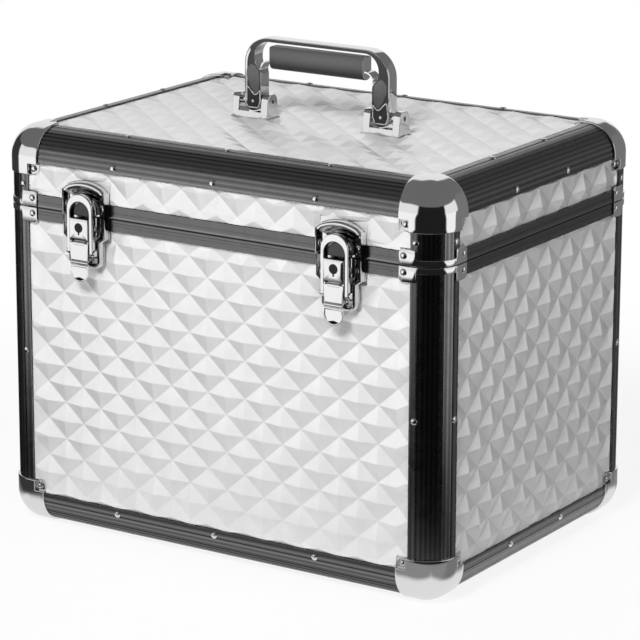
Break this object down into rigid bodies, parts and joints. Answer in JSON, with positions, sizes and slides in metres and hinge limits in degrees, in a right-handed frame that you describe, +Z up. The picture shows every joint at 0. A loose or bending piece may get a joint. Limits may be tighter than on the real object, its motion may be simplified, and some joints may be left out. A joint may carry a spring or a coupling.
{
  "type": "grooming box",
  "caption": "Hard grooming case with embossed metallic sides, dark edge rails, chrome corners, locking latches, a folding top handle and a lift-out tray under a hinged lid.",
  "frame": {"origin": "centre of the case's footprint, on the surface that it stands on", "axes": "+Z up; the front with the latches faces -Y; +X is the viewer's right when facing the front"},
  "size_m": [0.4046, 0.316, 0.3841],
  "materials": {
    "embossed_skin": "satin silver, embossed",
    "black_aluminium": "black anodised, satin",
    "chrome": "polished",
    "rivet_steel": "polished",
    "lining": "black, matt",
    "tray_plastic": "black, matt",
    "grip_plastic": "black, satin",
    "zinc_steel": "satin",
    "bottom_board": "black, matt"
  },
  "bodies": {
    "base": {"base_corner_caps": "chrome", "base_lining": "lining", "base_panel_back": "embossed_skin", "base_panel_bottom": "bottom_board", "base_panel_front": "embossed_skin", "base_panel_left": "embossed_skin", "base_panel_right": "embossed_skin", "base_posts": "black_aluminium", "base_rail_back": "black_aluminium", "base_rail_front": "black_aluminium", "base_rail_left": "black_aluminium", "base_rail_right": "black_aluminium", "base_rim": "black_aluminium", "base_rim_corners": "chrome", "base_rivets": "rivet_steel", "hinge_base_leaves": "zinc_steel", "hinge_pins": "zinc_steel", "latch_plate_left": "chrome", "latch_plate_right": "chrome", "stay_base_brackets": "zinc_steel", "tray_ledges": "tray_plastic"},
    "lid": {"handle_base_left": "chrome", "handle_base_right": "chrome", "handle_pins": "chrome", "hinge_lid_leaves": "zinc_steel", "latch_keeper_left": "chrome", "latch_keeper_right": "chrome", "lid_corner_caps": "chrome", "lid_lining": "lining", "lid_panel_back": "embossed_skin", "lid_panel_front": "embossed_skin", "lid_panel_left": "embossed_skin", "lid_panel_right": "embossed_skin", "lid_panel_top": "embossed_skin", "lid_posts": "black_aluminium", "lid_rail_back": "black_aluminium", "lid_rail_front": "black_aluminium", "lid_rail_left": "black_aluminium", "lid_rail_right": "black_aluminium", "lid_rim": "black_aluminium", "lid_rim_corners": "chrome", "lid_rivets": "rivet_steel", "stay_lid_brackets": "zinc_steel"},
    "handle": {"handle_bow": "chrome", "handle_grip": "grip_plastic"},
    "tray": {"tray": "tray_plastic", "tray_dividers": "tray_plastic"},
    "stay_left": {"stay_left": "zinc_steel"},
    "stay_right": {"stay_right": "zinc_steel"},
    "lever_left": {"latch_lever_left": "chrome", "latch_pins_left": "chrome"},
    "bail_left": {"latch_bail_left": "chrome"},
    "plug_left": {"latch_lock_plug_left": "chrome"},
    "lever_right": {"latch_lever_right": "chrome", "latch_pins_right": "chrome"},
    "bail_right": {"latch_bail_right": "chrome"},
    "plug_right": {"latch_lock_plug_right": "chrome"}
  },
  "joints": [
    {"name": "lid_open", "type": "hinge", "parent": "base", "child": "lid", "pos_m": [0, 0.1519, 0.2605], "axis": [-1, 0, 0], "range_deg": [0, 95]},
    {"name": "handle_fold", "type": "hinge", "parent": "lid", "child": "handle", "pos_m": [0, 0, 0.3325], "axis": [1, 0, 0], "range_deg": [-90, 90]},
    {"name": "tray_lift", "type": "slide", "parent": "base", "child": "tray", "axis": [0, 0, 1], "range_m": [0, 0.035]},
    {"name": "latch_left_open", "type": "hinge", "parent": "base", "child": "lever_left", "pos_m": [-0.116, -0.1575, 0.24], "axis": [-1, 0, 0], "range_deg": [0, 90]},
    {"name": "bail_left_swing", "type": "hinge", "parent": "lever_left", "child": "bail_left", "pos_m": [-0.116, -0.1563, 0.2335], "axis": [1, 0, 0], "range_deg": [0, 90]},
    {"name": "lock_left_turn", "type": "hinge", "parent": "base", "child": "plug_left", "pos_m": [-0.116, -0.156, 0.2529], "axis": [0, 1, 0], "range_deg": [0, 90]},
    {"name": "stay_left_turn", "type": "hinge", "parent": "lid", "child": "stay_left", "pos_m": [-0.18585, 0.07463, 0.28121], "axis": [1, 0, 0], "range_deg": [0, 48]},
    {"name": "latch_right_open", "type": "hinge", "parent": "base", "child": "lever_right", "pos_m": [0.116, -0.1575, 0.24], "axis": [-1, 0, 0], "range_deg": [0, 90]},
    {"name": "bail_right_swing", "type": "hinge", "parent": "lever_right", "child": "bail_right", "pos_m": [0.116, -0.1563, 0.2335], "axis": [1, 0, 0], "range_deg": [0, 90]},
    {"name": "lock_right_turn", "type": "hinge", "parent": "base", "child": "plug_right", "pos_m": [0.116, -0.156, 0.2529], "axis": [0, 1, 0], "range_deg": [0, 90]},
    {"name": "stay_right_turn", "type": "hinge", "parent": "lid", "child": "stay_right", "pos_m": [0.18585, 0.07463, 0.28121], "axis": [1, 0, 0], "range_deg": [0, 48]}
  ],
  "couplings": [
    {"joint": "bail_left_swing", "follows": "latch_left_open", "ratio": 1},
    {"joint": "stay_left_turn", "follows": "lid_open", "ratio": 0.5},
    {"joint": "bail_right_swing", "follows": "latch_right_open", "ratio": 1},
    {"joint": "stay_right_turn", "follows": "lid_open", "ratio": 0.5}
  ]
}
